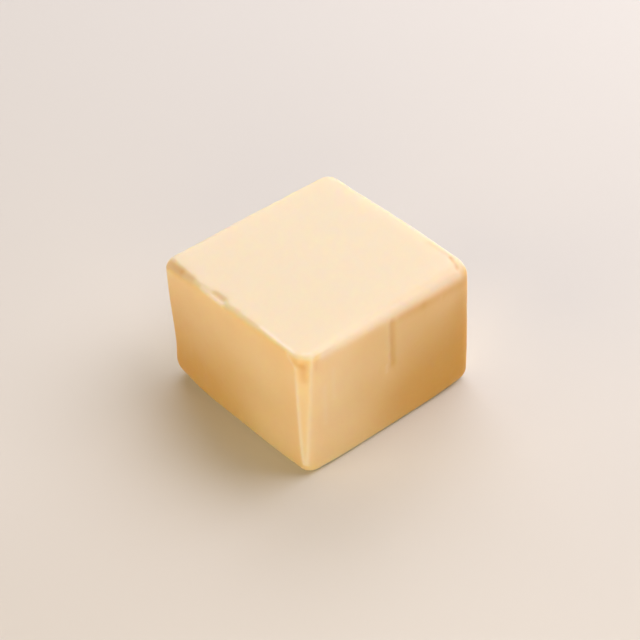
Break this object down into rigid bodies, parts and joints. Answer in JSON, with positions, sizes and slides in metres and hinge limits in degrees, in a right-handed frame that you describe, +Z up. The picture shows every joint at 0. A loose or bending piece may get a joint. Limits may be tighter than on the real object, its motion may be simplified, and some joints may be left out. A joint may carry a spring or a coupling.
{
  "type": "block of butter",
  "caption": "Soft-edged rectangular piece of butter with wrapper folds, a flat top and a flat base to rest on.",
  "frame": {"origin": "middle of the flat base, on the surface that the butter rests on", "axes": "+Z up; +X along the front face with the middle fold, towards its right end; +Y from that face to the back"},
  "size_m": [0.0593, 0.0582, 0.0401],
  "materials": {
    "butter": "smooth, waxy pale yellow butter with a soft satin sheen, slightly see-through at its edges"
  },
  "bodies": {
    "root": {"butter_block": "butter"}
  },
  "joints": []
}
